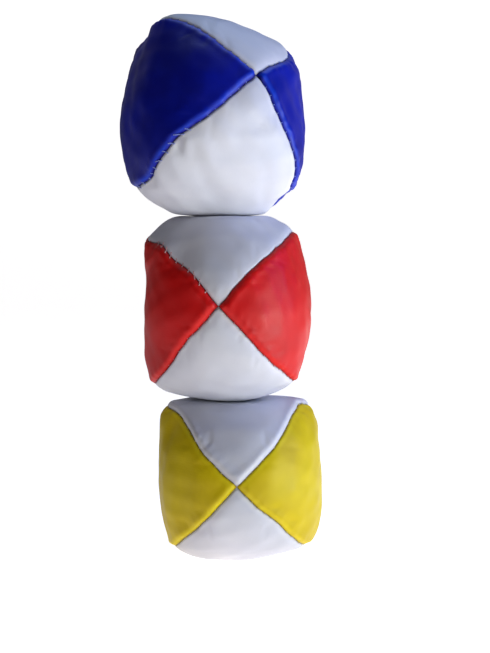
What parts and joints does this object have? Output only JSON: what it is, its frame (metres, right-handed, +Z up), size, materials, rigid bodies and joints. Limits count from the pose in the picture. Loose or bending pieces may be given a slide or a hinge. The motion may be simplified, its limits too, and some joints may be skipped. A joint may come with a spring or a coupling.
{
  "type": "juggling ball set",
  "caption": "Beanbag juggling balls resting in a stack, each sewn from lens-shaped coloured and white panels round a grain filling.",
  "frame": {"origin": "middle of the yellow ball's rest face, the lowest point of the stack", "axes": "+Z up the stack, the front poles of the balls point along -Y, +X is to the right as seen from the front"},
  "size_m": [0.07, 0.0683, 0.1892],
  "materials": {
    "white_vinyl": "satin",
    "yellow_vinyl": "satin",
    "red_vinyl": "satin",
    "blue_vinyl": "satin",
    "sewing_thread": "matte",
    "closing_thread": "matte",
    "millet": "satin"
  },
  "bodies": {
    "yellow_ball": {"yellow_ball_top_panel": "white_vinyl", "yellow_ball_right_panel": "yellow_vinyl", "yellow_ball_bottom_panel": "white_vinyl", "yellow_ball_left_panel": "yellow_vinyl", "yellow_ball_upper_right_seam_thread": "sewing_thread", "yellow_ball_lower_right_seam_thread": "sewing_thread", "yellow_ball_lower_left_seam_thread": "sewing_thread", "yellow_ball_upper_left_seam_thread": "sewing_thread", "yellow_ball_closing_thread": "closing_thread", "yellow_ball_millet_filling": "millet"},
    "red_ball": {"red_ball_top_panel": "white_vinyl", "red_ball_right_panel": "red_vinyl", "red_ball_bottom_panel": "white_vinyl", "red_ball_left_panel": "red_vinyl", "red_ball_upper_right_seam_thread": "sewing_thread", "red_ball_lower_right_seam_thread": "sewing_thread", "red_ball_lower_left_seam_thread": "sewing_thread", "red_ball_upper_left_seam_thread": "sewing_thread", "red_ball_closing_thread": "closing_thread", "red_ball_millet_filling": "millet"},
    "blue_ball": {"blue_ball_top_panel": "white_vinyl", "blue_ball_right_panel": "blue_vinyl", "blue_ball_bottom_panel": "white_vinyl", "blue_ball_left_panel": "blue_vinyl", "blue_ball_upper_right_seam_thread": "sewing_thread", "blue_ball_lower_right_seam_thread": "sewing_thread", "blue_ball_lower_left_seam_thread": "sewing_thread", "blue_ball_upper_left_seam_thread": "sewing_thread", "blue_ball_closing_thread": "closing_thread", "blue_ball_millet_filling": "millet"}
  },
  "joints": [
    {"name": "red_ball_lift", "type": "slide", "parent": "yellow_ball", "child": "red_ball", "axis": [0, 0, 1], "range_m": [0, 0.08]},
    {"name": "blue_ball_lift", "type": "slide", "parent": "red_ball", "child": "blue_ball", "axis": [0, 0, 1], "range_m": [0, 0.08]}
  ]
}
